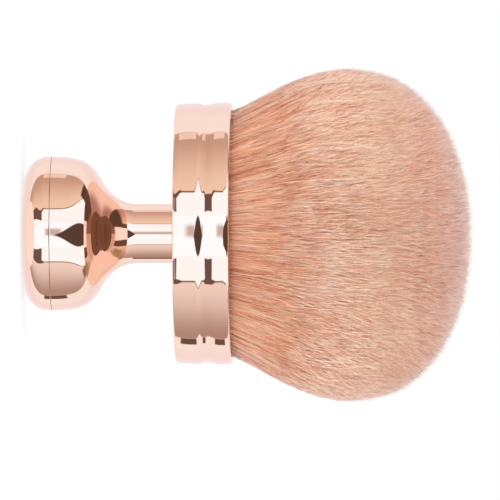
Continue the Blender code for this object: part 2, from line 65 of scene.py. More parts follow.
# The photograph's frame: how large a pixel is, and where the foot and the axis lie in it
PIXEL = 0.000212
PICTURE_SIDE = 500
FOOT_COLUMN = 23.2
AXIS_ROW = 233.5
CAMERA_DISTANCE = 2.5
CAMERA_TILT = math.radians(1.5)
CAMERA_CLIP = (0.01, 20)
SENSOR = 36

# Handle outline, as in the solids
FOOT_RADIUS = 0.0095
KNOB_RADIUS = 0.01637
KNOB_WIDEST_HEIGHT = 0.00548
FLARE_RADIUS = 0.0108
FLARE_HEIGHT = 0.01705
NECK_RADIUS = 0.00633
NECK_START_HEIGHT = 0.02422
FOOT_BEND_SHARES = (0.304, 0.801)
CROWN_BEND_SHARES = (0.622, 0.807)
SWEEP_BEND_SHARES = (0.736, 0.326)
FLARE_FALL_SHARE = 1.87
KNOB_WALL = 0.002
SPIGOT_RADIUS = 0.0045

# The seam between the knob's cap and shell: a hairline with softened edges
SEAM_HEIGHT = 0.00615
SEAM_GAP = 0.00006
SEAM_EDGE = 0.00007
SEAM_DEPTH = 0.0008

# Ferrule section, as in the solids
FERRULE_RADIUS = 0.0278
FERRULE_WALL = 0.0009
LIP_DRAW = 0.00012
LIP_WALL = 0.00135
HEM_LENGTH = 0.001

# How the ferrule's wall leans out as it rises over its two crowned bands and the waist
# between them: heights above the back plate, and the lean at each
LEAN_HEIGHTS = (0.0005, 0.0024, 0.0046, 0.0055, 0.0063, 0.0069, 0.0076, 0.0083, 0.0094, 0.0108)
LEAN_SHARES = (0.2, 0.05, -0.02, -0.34, -0.05, 0.18, 0.25, 0.18, 0.03, -0.03)

# Bristle head outline, as in the solids
MOUTH_RADIUS = 0.02615
BULGE_RADIUS = 0.0354
BULGE_HEIGHT = 0.0251
HEAD_LENGTH = 0.0511
FAN_LEAN_SHARE = 0.34
FAN_BEND_SHARES = (0.264, 0.446)
DOME_BEND_SHARES = (0.78, 0.38)

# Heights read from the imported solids
FERRULE_BACK, FERRULE_MOUTH = (corner.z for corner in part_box("ferrule_shell"))
ROOT_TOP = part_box("bristle_cup")[1].z
TIP = FERRULE_MOUTH + HEAD_LENGTH
BULGE = FERRULE_MOUTH + BULGE_HEIGHT

# How finely the turned metal and the outlines are drawn
TURNED_SEGMENTS = 256
CURVE_POINTS = 40
BAND_POINTS = 160
CORNER_POINTS = 8
QUARTER_TURNS = [math.pi / 2 * step / CORNER_POINTS for step in range(CORNER_POINTS + 1)]
SHARP_ANGLE = math.radians(40)
WELD = 1e-7

# Bristles: long ones round the outside, and the ends of those that splay out from within.
# They start below the ferrule's mouth, taper to their ends, and differ in thickness.
SEED = 7
LONG_BRISTLES = 22000
SHORT_BRISTLES, SHORT_LENGTH = 150000, 0.014
BRISTLE_SIDES = 3
THICKNESS_SHARES = (0.7, 1.25)
TAPER_PLACE_SHARES = (0, 0.7, 1)
TAPER_SHARES = (1, 1, 0.45)
ROOT_SINK = 0.0024

# How far out the long bristles stand, as shares of the bulge: a dense mass, and a few loose
LONG_SHARE_FROM = 0.84
DENSE_SHARE_TO = 0.958
LOOSE_SHARE = 0.08

# Where the splayed bristles start to end on the head's side, and where all the surface is
# made of their ends; and how far they lean out at the side, which is less over the dome
SPLAYED_FROM, SPLAYED_ALL_FROM = FERRULE_MOUTH + 0.006, FERRULE_MOUTH + 0.021
SPLAY = math.radians(29)

# How far short of the head's surface the bristles end
TIP_SPREAD = 0.00012
TIP_DROPS = (-0.0005, 0.0014)
TIP_DROP_POWER = 0.6

# How unevenly they lie: each has its own tilt and small bends, which start above the ferrule,
# and the whole head droops towards its tip
OWN_SWAY, OWN_TILT = 0.0002, 0.055
WEAVE_DEPTH = 0.0004
FREE_LENGTH = 0.005
DROOP = 0.0006

# Locks and wisps are cells of the head. What the bristles of one cell have in common comes
# from a table, by the cell's column and row, and the cells have ragged edges.
CELL_TABLE = 1009
CELL_STEPS = (383, 719)
LOCK_JITTER, WISP_JITTER = 0.6, 0.2

# How many shades the bristles have, and how much of a shade comes from the wide and narrow
# locks, from the wisp and from the bristle itself
SHADES = 64
SHADE_SHARES = (0.05, 0.15, 0.5, 0.3)

# How much the bristles shade with the head's surface instead of with their own
SMOOTHING_SHARE = 0.7

# Colours of the fibres from dark to light, and how the head's tone runs from ferrule to tip:
# darker and redder at the ferrule, painted light on the shoulder that lifts the shade between
# the bristles, and painted shade towards the tip, where less light falls
FIBRE_DYES = (
    (0.64, 0.3, 0.19),
    (0.95, 0.57, 0.41),
    (1.0, 0.67, 0.5),
    (1.0, 0.77, 0.62),
    (1.0, 0.9, 0.81),
)
# Painted light: the tone is lightest on the shoulder, then painted shade darkens it towards the
# tip
HEAD_TONES_WITH_PAINTED_LIGHT = (
    (0.7, 0.455, 0.345),
    (0.86, 0.57, 0.435),
    (1.0, 0.84, 0.75),
    (1.0, 0.865, 0.77),
    (0.95, 0.745, 0.665),
    (0.9, 0.755, 0.74),
)
FIBRE_ROUGHNESS = 0.5
FIBRE_SHEEN, SHEEN_TINT, SHEEN_ROUGHNESS = 1.0, (1.0, 0.95, 0.97), 0.37

# The plain core under the bristles: its colour at the ferrule and at the tip, and its streaks
CORE_SHARE = 0.93
CORE_DROP = 0.0021
CORE_TONES = ((0.84, 0.48, 0.34), (1.0, 0.78, 0.68))
STREAK_TONES = ((0.8, 0.72, 0.68), (1.0, 1.0, 1.0))
STREAK_SCALE, STREAK_STRETCH, STREAK_DETAIL, STREAK_RANGE = 1800, 0.06, 2, (0.35, 0.65)
CORE_ROUGHNESS = 0.7

# Mirror plating: its colour and roughness under thin and thick haze, and its cloudiness
PLATING_COLOURS = ((0.955, 0.69, 0.56), (0.965, 0.705, 0.575))
PLATING_ROUGHNESS = (0.018, 0.04)
CLOUD_SCALE, CLOUD_DETAIL = 90, 4
TINT_RANGE, HAZE_RANGE = (0.35, 0.65), (0.35, 0.7)

# Finishes of the pieces inside: colour and roughness, then grain size and depth
STEEL = ((0.62, 0.63, 0.65), 0.3)
BRASS = ((0.8, 0.6, 0.3), 0.3)
FOAM = ((0.05, 0.05, 0.055), 0.95, 2500, 0.0002)
MOULDING = ((0.75, 0.72, 0.68), 0.5, 600, 0.00002)
EPOXY = ((0.72, 0.6, 0.38), 0.25, 300, 0.00005)
THREAD = ((0.86, 0.8, 0.72), 0.8, 1800, 0.0001)
METAL_GRAIN_SCALE, METAL_GRAIN_DETAIL, METAL_GRAIN_RANGE = 900, 4, (0.3, 0.7)
METAL_GRAIN_ROUGHNESS = 0.06
PLAIN_GRAIN_DETAIL = 3
METAL_DARKER, PLAIN_DARKER = 0.82, 0.75

# The white table and the plain light of the studio
TABLE_SIDE = 6.0
TABLE_COLOUR = (0.94, 0.94, 0.94)
TABLE_GLOW_SHARE = 0.75
SKY_COLOUR = (1, 0.99, 0.98)
SKY_LIGHT = 1.13


class Lamp(NamedTuple):
    """One broad soft lamp that points at the head of the brush."""

    name: str
    place: tuple
    size: float
    power: float


LAMPS = (
    Lamp("upper_softbox", (-1.05, -0.5, 0.3), 0.9, 7.0),
    Lamp("lower_softbox", (1.05, -0.5, 0.3), 0.9, 6.0),
    Lamp("rear_fill", (0.0, 1.1, 0.5), 1.0, 3.0),
    Lamp("tip_fill", (0.0, -0.3, 1.4), 0.8, 1.2),
)


class Kind(NamedTuple):
    """One kind of bristle.

    ring_shares are the places of its rings along it, wisp is how wide and how deep a wisp of
    one shade is, and per_piece is how many go in a piece of a size that exports well.
    """

    label: str
    radius: float
    ring_shares: tuple
    wisp: tuple
    shade_spread: float
    per_piece: int


LONG = Kind(
    label="long",
    radius=0.00006,
    ring_shares=(0, 0.09, 0.2, 0.32, 0.45, 0.58, 0.71, 0.86),
    wisp=(0.00055, 0.01),
    shade_spread=3.2,
    per_piece=3700,
)
SHORT = Kind(
    label="short",
    radius=0.000075,
    ring_shares=(0, 0.5, 0.9),
    wisp=(0.00035, 0.003),
    shade_spread=2.5,
    per_piece=12000,
)


class Laid(NamedTuple):
    """Many bristles as they lie.

    angles go round the axis, places out or down along the head, traits come from the locks,
    points run along each bristle, and outward is the head's outward direction at each point.
    """

    angles: np.ndarray
    places: np.ndarray
    traits: list
    points: np.ndarray
    outward: np.ndarray


class Lock(NamedTuple):
    """How wide a lock of bristles is, how far it sways and how long a sway is."""

    width: float
    sway: float
    wave: float


LOCKS = (Lock(0.0026, 0.00018, 0.09), Lock(0.0009, 0.0001, 0.06))

# What the plating mirrors, by direction in degrees. A turn goes round the brush's axis, from
# 0 at the camera up over the top of the picture. A rise goes from square across the brush
# towards its bristles, and a fall the other way.
WHITE_WALL = (1.0, 1.03, 1.08)
SIDE_WALL, SIDE_TURNS = (0.96, 0.92, 0.98), (122, 142)
FAR_END, FAR_END_FALL = (1.04, 1.0, 1.03), 63
WINDOW = (1.1, 1.3, 1.52)
ROOM, ROOM_MIDDLE, ROOM_HALF = (0.1, 0.065, 0.055), -2.5, 24
ROOM_START, ROOM_REACH, ROOM_POWER, ROOM_SOFT = 1.0, 22, 1.3, 1.0
CORNER_FALLS, CORNER_SOFT, CORNER_DIP = (18, 40), (6, 8), 5.5
GAP, GAP_FALL, GAP_WIDENING = (0.16, 0.11, 0.1), 20, 0.004
CARD_EDGE, CARD_EDGE_HALF, CARD_EDGE_GROWTH = (0.17, 0.11, 0.09), 0.7, 1.8
CARD_EDGE_FALL, CARD_EDGE_SOFT = 14, 6
CRISP, SOFT = 0.5, 1.5

# Between the knob and the ferrule, what is mirrored twice shows the nearer surroundings, and
# what is mirrored more often is a plain dim mix of it all
TWICE = (2, 3)
DEEP_BOUNCES, DEEP_COLOUR = (3, 4), (0.2, 0.18, 0.17)


class Patch(NamedTuple):
    """A rectangle of the studio: its middle and half its size, its soft edge and its colour."""

    turn: float
    turn_half: float
    rise: float
    rise_half: float
    soft: float
    colour: tuple


# Before the window: a bright panel and the stand in front of it
WINDOW_PATCHES = (
    Patch(-2, 18, 0, 60, 1.5, (1.1, 1.38, 1.66)),
    Patch(2.2, 5.2, 0.5, 6, 3, (0.62, 0.6, 0.6)),
)

# Gear beside the cards: above and below on the bristle side, a lamp's face, and a dark one behind
GEAR_PATCHES = (
    Patch(87, 16, 49, 13, 2, (0.1, 0.06, 0.05)),
    Patch(-84, 12, 50, 9, 2, (0.28, 0.18, 0.15)),
    Patch(96.6, 4.2, -3, 9.5, 0.8, (0.94, 0.8, 0.74)),
    Patch(-111.6, 4.6, -2, 7.5, 0.8, (0.16, 0.1, 0.08)),
)

# Seen by what is mirrored twice: the far walls, the dim far ends, and dark things close by
NEAR_PATCHES = (
    Patch(-145, 42, -48, 16, 4, (1.05, 1.05, 1.12)),
    Patch(145, 42, -40, 14, 4, (1.02, 1.02, 1.08)),
    Patch(140, 37, -68, 18, 9, (0.48, 0.36, 0.36)),
    Patch(-60, 64, -77, 13, 3, (0.72, 0.6, 0.55)),
    Patch(52, 54, -77, 13, 3, (0.3, 0.2, 0.18)),
    Patch(70, 35, -53, 18, 4, (0.125, 0.09, 0.08)),
    Patch(-81, 12, -44, 12, 4, (0.45, 0.36, 0.27)),
)


class Card(NamedTuple):
    """A large card above (side 1) or below (side -1) the camera.

    gap_turn is where the dark gap before it starts. front and back are its edges, each a turn
    at no rise, then how it moves with the square of the rise and of the fall. near and far
    are its colours, and span is how many degrees it takes from one to the other.
    """

    side: int
    gap_turn: float
    front: tuple
    back: tuple
    near: tuple
    far: tuple
    span: float


CARDS = (
    Card(
        side=1,
        gap_turn=18,
        front=(37, 0.018, 0.005),
        back=(101, 0.002, 0.006),
        near=(0.93, 0.79, 0.68),
        far=(0.6, 0.42, 0.35),
        span=60,
    ),
    Card(
        side=-1,
        gap_turn=21,
        front=(43, 0.012, 0.005),
        back=(107, -0.002, 0.004),
        near=(0.92, 0.86, 0.86),
        far=(0.45, 0.33, 0.29),
        span=62,
    ),
)


def bent(*corners):
    """Points along a Bezier curve between two (radius, height) points, by way of two more."""
    return [tuple(point) for point in interpolate_bezier(*map(Vector, corners), CURVE_POINTS)]


def knob_outline():
    """The knob's side from its foot over the widest point and the flare to the neck."""
    swell = KNOB_RADIUS - FOOT_RADIUS
    fall = (KNOB_RADIUS - FLARE_RADIUS) * CROWN_BEND_SHARES[1]
    sweep = (FLARE_RADIUS - NECK_RADIUS) * SWEEP_BEND_SHARES[0]
    crown_rise = (FLARE_HEIGHT - KNOB_WIDEST_HEIGHT) * CROWN_BEND_SHARES[0]
    neck_drop = (NECK_START_HEIGHT - FLARE_HEIGHT) * SWEEP_BEND_SHARES[1]
    side = bent(
        (FOOT_RADIUS, 0),
        (FOOT_RADIUS + swell * FOOT_BEND_SHARES[0], 0),
        (KNOB_RADIUS, KNOB_WIDEST_HEIGHT * (1 - FOOT_BEND_SHARES[1])),
        (KNOB_RADIUS, KNOB_WIDEST_HEIGHT),
    )
    crown = bent(
        (KNOB_RADIUS, KNOB_WIDEST_HEIGHT),
        (KNOB_RADIUS, KNOB_WIDEST_HEIGHT + crown_rise),
        (FLARE_RADIUS + fall, FLARE_HEIGHT - fall / FLARE_FALL_SHARE),
        (FLARE_RADIUS, FLARE_HEIGHT),
    )
    sweep_in = bent(
        (FLARE_RADIUS, FLARE_HEIGHT),
        (FLARE_RADIUS - sweep, FLARE_HEIGHT + sweep / FLARE_FALL_SHARE),
        (NECK_RADIUS, NECK_START_HEIGHT - neck_drop),
        (NECK_RADIUS, NECK_START_HEIGHT),
    )
    return side + crown[1:] + sweep_in[1:]


def radius_at(outline, height):
    """The radius of a rising outline at one height."""
    radii, heights = zip(*outline)
    return float(np.interp(height, heights, radii))


def ferrule_bands():
    """The ferrule's wall from corner to lip: two crowned bands with the waist between them."""
    heights = np.linspace(LEAN_HEIGHTS[0], LEAN_HEIGHTS[-1], BAND_POINTS)
    leans = np.interp(heights, LEAN_HEIGHTS, LEAN_SHARES)
    steps = np.diff(heights) * (leans[1:] + leans[:-1]) / 2
    radii = np.concatenate([[0], np.cumsum(steps)])
    radii += FERRULE_RADIUS - radii.max()
    return list(zip(radii.tolist(), (FERRULE_BACK + heights).tolist()))


def bulge_outline():
    """The head's side from the ferrule's mouth out to the bulge."""
    lean = BULGE_HEIGHT * FAN_BEND_SHARES[0]
    return bent(
        (MOUTH_RADIUS, FERRULE_MOUTH),
        (MOUTH_RADIUS + lean * FAN_LEAN_SHARE, FERRULE_MOUTH + lean),
        (BULGE_RADIUS, BULGE - BULGE_HEIGHT * FAN_BEND_SHARES[1]),
        (BULGE_RADIUS, BULGE),
    )


def dome_outline():
    """The head's domed end from the bulge to the tip."""
    dome = TIP - BULGE
    return bent(
        (BULGE_RADIUS, BULGE),
        (BULGE_RADIUS, BULGE + dome * DOME_BEND_SHARES[0]),
        (BULGE_RADIUS * DOME_BEND_SHARES[1], TIP),
        (0, TIP),
    )


def add_piece(mesh, name, material, slot, *nodes):
    """Show a mesh as a named piece that rides on the brush and stands for CAD nodes."""
    mesh.materials.append(material)
    piece = bpy.data.objects.new(name, mesh)
    bpy.context.scene.collection.objects.link(piece)
    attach(piece, "root")
    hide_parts(*nodes)


def revolved(profile):
    """The points and faces of a section of (radius, height) points turned about the axis."""
    radii, heights = (np.array(side) for side in zip(*profile))
    segments = np.arange(TURNED_SEGMENTS)
    turns = segments * (math.tau / TURNED_SEGMENTS)
    rows = len(profile)
    points = np.empty((TURNED_SEGMENTS, rows, 3))
    points[:, :, 0] = np.cos(turns)[:, None] * radii
    points[:, :, 1] = np.sin(turns)[:, None] * radii
    points[:, :, 2] = heights
    here = segments[:, None] * rows
    there = (segments[:, None] + 1) % TURNED_SEGMENTS * rows
    low = np.arange(rows)
    high = (low + 1) % rows
    faces = np.stack([here + low, there + low, there + high, here + high], axis=-1)
    return points.reshape(-1, 3), faces.reshape(-1, 4).tolist()


def turned(name, profile):
    """A closed mesh turned about the brush's axis, smooth but for its sharp edges."""
    points, faces = revolved(profile)
    mesh = bpy.data.meshes.new(name)
    mesh.from_pydata(points, [], faces)
    shape = bmesh.new()
    shape.from_mesh(mesh)
    bmesh.ops.remove_doubles(shape, verts=shape.verts, dist=WELD)
    bmesh.ops.recalc_face_normals(shape, faces=shape.faces)
    shape.to_mesh(mesh)
    shape.free()
    mesh.shade_smooth()
    mesh.set_sharp_from_angle(angle=SHARP_ANGLE)
    return mesh


# Node helpers

# Where a Mix node has its share and its colours, among the sockets for other kinds of value
MIX_SHARE, MIX_COLOURS, MIX_RESULT = 0, (6, 7), 2


def set_input(tree, socket, value):
    """Give one input a plain value, or link it to another node's output."""
    if isinstance(value, bpy.types.NodeSocket):
        tree.links.new(value, socket)
    else:
        socket.default_value = value


def fill(tree, node, values):
    """Set or link a node's inputs in order."""
    for socket, value in zip(node.inputs, values):
        set_input(tree, socket, value)


def step_value(tree, operation, *values):
    """One Math node, whose inputs are numbers or other nodes' outputs."""
    node = tree.nodes.new("ShaderNodeMath")
    node.operation = operation
    fill(tree, node, values)
    return node.outputs[0]


def fade(tree, value, low, high, to_low=0.0, to_high=1.0):
    """Smoothly take a value from one range to another, and hold it at both ends."""
    node = tree.nodes.new("ShaderNodeMapRange")
    node.interpolation_type = "SMOOTHSTEP"
    fill(tree, node, (value, low, high, to_low, to_high))
    return node.outputs[0]


def blended(tree, share, first, second, way="MIX"):
    """Mix two colours by a share from 0 to 1."""
    node = tree.nodes.new("ShaderNodeMix")
    node.data_type = "RGBA"
    node.blend_type = way
    set_input(tree, node.inputs[MIX_SHARE], share)
    for place, colour in zip(MIX_COLOURS, (first, second)):
        value = (*colour, 1) if isinstance(colour, tuple) else colour
        set_input(tree, node.inputs[place], value)
    return node.outputs[MIX_RESULT]


def ramp(tree, value, stops):
    """A colour that runs through evenly spaced stops as a value goes from 0 to 1."""
    node = tree.nodes.new("ShaderNodeValToRGB")
    elements = node.color_ramp.elements
    for _ in stops[2:]:
        elements.new(1)
    for index, (element, colour) in enumerate(zip(elements, stops)):
        element.position = index / (len(stops) - 1)
        element.color = (*colour, 1)
    tree.links.new(value, node.inputs[0])
    return node.outputs[0]


def noise(tree, vector, scale, detail):
    """Smooth noise from 0 to 1."""
    node = tree.nodes.new("ShaderNodeTexNoise")
    tree.links.new(vector, node.inputs["Vector"])
    node.inputs["Scale"].default_value = scale
    node.inputs["Detail"].default_value = detail
    return node.outputs["Fac"]


def coordinates(tree, kind="Object"):
    """Where a point lies, or which way a ray of the world goes."""
    return tree.nodes.new("ShaderNodeTexCoord").outputs[kind]


def separated(tree, vector):
    """The three parts of a vector."""
    node = tree.nodes.new("ShaderNodeSeparateXYZ")
    tree.links.new(vector, node.inputs[0])
    return node.outputs


def new_material(name):
    """An empty Principled material, with its tree and its shader."""
    material = bpy.data.materials.new(name)
    material.use_nodes = True
    return material, material.node_tree, material.node_tree.nodes["Principled BSDF"]


def plating_material():
    """Mirror rose gold: clean plating with a breath of haze and handling marks."""
    material, tree, shader = new_material("rose_gold_mirror")
    cloud = noise(tree, coordinates(tree), CLOUD_SCALE, CLOUD_DETAIL)
    shader.inputs["Metallic"].default_value = 1
    base = blended(tree, fade(tree, cloud, *TINT_RANGE), *PLATING_COLOURS)
    tree.links.new(base, shader.inputs["Base Color"])
    rough = fade(tree, cloud, *HAZE_RANGE, *PLATING_ROUGHNESS)
    tree.links.new(rough, shader.inputs["Roughness"])
    return material


def metal_material(name, colour, roughness):
    """A plain machined metal for the pieces inside."""
    material, tree, shader = new_material(name)
    grain = noise(tree, coordinates(tree), METAL_GRAIN_SCALE, METAL_GRAIN_DETAIL)
    darker = tuple(METAL_DARKER * part for part in colour)
    shader.inputs["Metallic"].default_value = 1
    tree.links.new(blended(tree, grain, darker, colour), shader.inputs["Base Color"])
    low, high = roughness - METAL_GRAIN_ROUGHNESS, roughness + METAL_GRAIN_ROUGHNESS
    tree.links.new(fade(tree, grain, *METAL_GRAIN_RANGE, low, high), shader.inputs["Roughness"])
    return material


def plain_material(name, colour, roughness, scale, depth):
    """A moulded, foamed, cast or wound material with its own grain."""
    material, tree, shader = new_material(name)
    grain = noise(tree, coordinates(tree), scale, PLAIN_GRAIN_DETAIL)
    darker = tuple(PLAIN_DARKER * part for part in colour)
    tree.links.new(blended(tree, grain, darker, colour), shader.inputs["Base Color"])
    shader.inputs["Roughness"].default_value = roughness
    bump = tree.nodes.new("ShaderNodeBump")
    bump.inputs["Distance"].default_value = depth
    tree.links.new(grain, bump.inputs["Height"])
    tree.links.new(bump.outputs["Normal"], shader.inputs["Normal"])
    return material


def bristle_material():
    """Fine dyed fibre in many shades: terracotta at the ferrule, peach, and pale at the tip.

    Across the UV map runs the shade of each bristle, and up it runs the height in the head.
    The tone up the head is partly the dye and partly painted light on the shoulder and painted
    shade towards the tip.
    """
    material, tree, shader = new_material("bristle_fibre")
    uv = tree.nodes.new("ShaderNodeUVMap")
    uv.uv_map = "OFBake"
    shade, height, _ = separated(tree, uv.outputs["UV"])
    # The tone by height carries painted light on the shoulder and painted shade towards the tip
    dyes, tones_with_painted_light = ramp(tree, shade, FIBRE_DYES), ramp(tree, height, HEAD_TONES_WITH_PAINTED_LIGHT)
    whole = blended(tree, 1.0, dyes, tones_with_painted_light, "MULTIPLY")
    tree.links.new(whole, shader.inputs["Base Color"])
    shader.inputs["Roughness"].default_value = FIBRE_ROUGHNESS
    shader.inputs["Sheen Weight"].default_value = FIBRE_SHEEN
    shader.inputs["Sheen Tint"].default_value = (*SHEEN_TINT, 1)
    shader.inputs["Sheen Roughness"].default_value = SHEEN_ROUGHNESS
    return material


def core_material():
    """The deeper bristles that show between the outer ones."""
    material, tree, shader = new_material("bristle_depths")
    place = coordinates(tree)
    stretched = tree.nodes.new("ShaderNodeMapping")
    stretched.inputs["Scale"].default_value = (1, 1, STREAK_STRETCH)
    tree.links.new(place, stretched.inputs["Vector"])
    streak = noise(tree, stretched.outputs["Vector"], STREAK_SCALE, STREAK_DETAIL)
    height = fade(tree, separated(tree, place)["Z"], FERRULE_MOUTH, TIP)
    tone = blended(tree, height, *CORE_TONES)
    shade = blended(tree, fade(tree, streak, *STREAK_RANGE), *STREAK_TONES)
    tree.links.new(blended(tree, 1.0, tone, shade, "MULTIPLY"), shader.inputs["Base Color"])
    shader.inputs["Roughness"].default_value = CORE_ROUGHNESS
    return material


# Metal pieces


def knob_pieces(material):
    """The cap and the shell of the knob, turned on the solids' outline with a hairline seam."""
    outline = knob_outline()
    low, high = SEAM_HEIGHT - SEAM_GAP / 2, SEAM_HEIGHT + SEAM_GAP / 2
    below = [point for point in outline if point[1] < low - SEAM_EDGE]
    above = [point for point in outline if point[1] > high + SEAM_EDGE]
    wide = radius_at(outline, SEAM_HEIGHT)
    cap = [(0, 0), *below, *softened(wide, low, -1), (wide - SEAM_DEPTH, low), (0, low)]
    name = "knob_cap_plated"
    add_piece(turned(name, cap), name, material, "plated_knob", "knob_cap")
    bore = wide - KNOB_WALL
    shell = [*reversed(softened(wide, high, 1)), *above, (NECK_RADIUS, FERRULE_BACK)]
    shell += [(SPIGOT_RADIUS, FERRULE_BACK), (SPIGOT_RADIUS, NECK_START_HEIGHT)]
    shell += [(bore, high + KNOB_WALL), (bore, high)]
    name = "knob_shell_plated"
    add_piece(turned(name, shell), name, material, "plated_knob", "knob_shell")


def softened(radius, height, side):
    """The rounded edge of a seam, on its low side (-1) or its high side (1)."""
    return [
        (
            radius - SEAM_EDGE * (1 - math.cos(turn)),
            height + side * SEAM_EDGE * (1 - math.sin(turn)),
        )
        for turn in QUARTER_TURNS
    ]


def ferrule_section():
    """The ferrule's section: rounded back corner, crowned bands with a waist, lip and hem."""
    bands = ferrule_bands()
    start = bands[0][0]
    corner = bands[0][1] - FERRULE_BACK
    lip = FERRULE_RADIUS - LIP_DRAW
    lip_inside = FERRULE_RADIUS - LIP_WALL
    middle, half = (lip + lip_inside) / 2, (lip - lip_inside) / 2
    inside = FERRULE_RADIUS - FERRULE_WALL
    hem = FERRULE_MOUTH - HEM_LENGTH
    profile = [(SPIGOT_RADIUS, FERRULE_BACK)]
    profile += [
        (
            start - corner * (1 - math.sin(turn)),
            FERRULE_BACK + corner * (1 - math.cos(turn)),
        )
        for turn in QUARTER_TURNS[:-1]
    ]
    profile += bands
    profile += [
        (middle + half * math.cos(2 * turn), FERRULE_MOUTH - half * (1 - math.sin(2 * turn)))
        for turn in QUARTER_TURNS
    ]
    plate = FERRULE_BACK + FERRULE_WALL
    return profile + [(lip_inside, hem), (inside, hem), (inside, plate), (SPIGOT_RADIUS, plate)]


def ferrule_piece(material):
    """The plated ferrule."""
    name = "ferrule_plated"
    add_piece(turned(name, ferrule_section()), name, material, "plated_ferrule", "ferrule_shell")


# Bristles


def strand_skin(points, radii, phases, outward):
    """The corners of closed, tapering bristles, and normals that lean to the head's surface.

    points is (bristle, ring, xyz) with the tip last, radii is (bristle, ring), phases turns
    each bristle's section, and outward is the head's outward direction at each point.
    """
    count = len(points)
    along = np.diff(points, axis=1)
    along /= np.linalg.norm(along, axis=2, keepdims=True)
    first = np.cross(along, outward[:, :-1])
    first /= np.linalg.norm(first, axis=2, keepdims=True)
    second = np.cross(along, first)
    turns = phases[:, None, None] + np.arange(BRISTLE_SIDES) * (math.tau / BRISTLE_SIDES)
    across = np.cos(turns)[..., None] * first[:, :, None]
    across = across + np.sin(turns)[..., None] * second[:, :, None]
    skin = points[:, :-1, None] + radii[:, :, None, None] * across
    corners = np.concatenate([skin.reshape(count, -1, 3), points[:, -1:]], axis=1)
    facing = (1 - SMOOTHING_SHARE) * across + SMOOTHING_SHARE * outward[:, :-1, None]
    normals = np.concatenate([facing.reshape(count, -1, 3), outward[:, -1:]], axis=1)
    return corners, normals / np.linalg.norm(normals, axis=2, keepdims=True)


def shade_map(corners, loops, places, shades):
    """Where face corners lie in the UV map: their shade across it, and their height up it."""
    rises = (corners[:, loops, 2] - FERRULE_MOUTH) / (TIP - FERRULE_MOUTH)
    across = (shades[:, None] + places[None]) / SHADES
    return np.stack([across, np.clip(rises, 0, 1)], axis=-1)


def strands_mesh(name, corners, normals, shades):
    """One mesh of many bristles from the corners and normals of each, with its UV map."""
    count, each = corners.shape[:2]
    loops, sizes, places = bristle_faces(each // BRISTLE_SIDES)
    mesh = bpy.data.meshes.new(name)
    mesh.vertices.add(count * each)
    mesh.vertices.foreach_set("co", corners.astype(np.float32).ravel())
    loop_points = np.arange(count)[:, None] * each + loops
    mesh.loops.add(loop_points.size)
    mesh.loops.foreach_set("vertex_index", loop_points.astype(np.int32).ravel())
    face_sizes = np.tile(sizes, count)
    mesh.polygons.add(face_sizes.size)
    starts = np.concatenate([[0], np.cumsum(face_sizes)[:-1]])
    mesh.polygons.foreach_set("loop_start", starts.astype(np.int32))
    layer = mesh.uv_layers.new(name="OFBake")
    uvs = shade_map(corners, loops, places, shades)
    layer.uv.foreach_set("vector", uvs.astype(np.float32).ravel())
    mesh.update(calc_edges=True)
    mesh.shade_smooth()
    free = mesh.attributes.new("custom_normal", "FLOAT_VECTOR", "POINT")
    free.data.foreach_set("vector", normals.astype(np.float32).ravel())
    return mesh


def bristle_faces(levels):
    """The faces of one bristle: its corner indices, face sizes and places across the UV map."""
    sides = range(BRISTLE_SIDES)
    tip = levels * BRISTLE_SIDES
    faces = []
    for low in range(0, tip - BRISTLE_SIDES, BRISTLE_SIDES):
        for side in sides:
            after = (side + 1) % BRISTLE_SIDES
            high = low + BRISTLE_SIDES
            faces.append([low + side, low + after, high + after, high + side])
    last = tip - BRISTLE_SIDES
    faces += [[last + side, last + (side + 1) % BRISTLE_SIDES, tip] for side in sides]
    faces.append(list(reversed(sides)))
    loops = np.array([corner for face in faces for corner in face])
    places = (1 + loops % BRISTLE_SIDES) / (BRISTLE_SIDES + 1)
    return loops, [len(face) for face in faces], places


def shared(random, cells, ragged, numbers=1):
    """Numbers from 0 to 1 that the bristles of one cell have in common.

    cells is the column and the row of each bristle's cell, before its ragged edge.
    """
    jitter = random.uniform(-ragged, ragged, (2, cells[0].size))
    column, row = (np.floor(side + own).astype(int) for side, own in zip(cells, jitter))
    table = random.random((CELL_TABLE, numbers))
    return table[(column * CELL_STEPS[0] + row * CELL_STEPS[1]) % CELL_TABLE].T


def lock_traits(random, angles, shares):
    """The two numbers that the bristles of each small lock share, for wide and narrow locks."""
    traits = []
    for lock in LOCKS:
        out = shares * BULGE_RADIUS / lock.width
        cells = (out * np.cos(angles), out * np.sin(angles))
        traits.append(shared(random, cells, LOCK_JITTER, 2))
    return traits


def wisp_shades(random, laid, wisp):
    """The number that the bristles of each narrow wisp share."""
    cells = (laid.angles * BULGE_RADIUS / wisp[0], laid.places / wisp[1])
    return shared(random, cells, WISP_JITTER)[0]


def laid_out(random, angles, radial, heights, traits):
    """Points along each bristle, from how far out and how high they are: it sways and weaves."""
    rise = np.maximum(heights - FERRULE_MOUTH, 0)
    free = np.minimum(rise / FREE_LENGTH, 1)
    sway = OWN_SWAY * random.uniform(-1, 1, heights.shape)
    sway += OWN_TILT * random.normal(size=(len(heights), 1)) * rise
    for lock, trait in zip(LOCKS, traits):
        sway += lock.sway * np.sin(math.tau * (heights / lock.wave + trait[0][:, None]))
    radial = radial - WEAVE_DEPTH * random.random(heights.shape) * free
    sag = DROOP * rise / (TIP - FERRULE_MOUTH)
    out_x, out_y = np.cos(angles)[:, None], np.sin(angles)[:, None]
    x = radial * out_x - sway * free * out_y + sag
    y = radial * out_y + sway * free * out_x
    return np.stack([x, y, heights], axis=-1)


def outward_directions(angles, facings):
    """Directions out of the head, from how far each one is turned away from the axis."""
    out_x, out_y = np.cos(angles)[:, None], np.sin(angles)[:, None]
    away = np.sin(facings)
    return np.stack([away * out_x, away * out_y, np.cos(facings)], axis=-1)


def tip_drops(random, count):
    """How far short of the head's surface each bristle ends: few come close to it."""
    uneven = random.normal(0, TIP_SPREAD, count)
    return np.interp(random.random(count) ** TIP_DROP_POWER, (0, 1), TIP_DROPS) + uneven


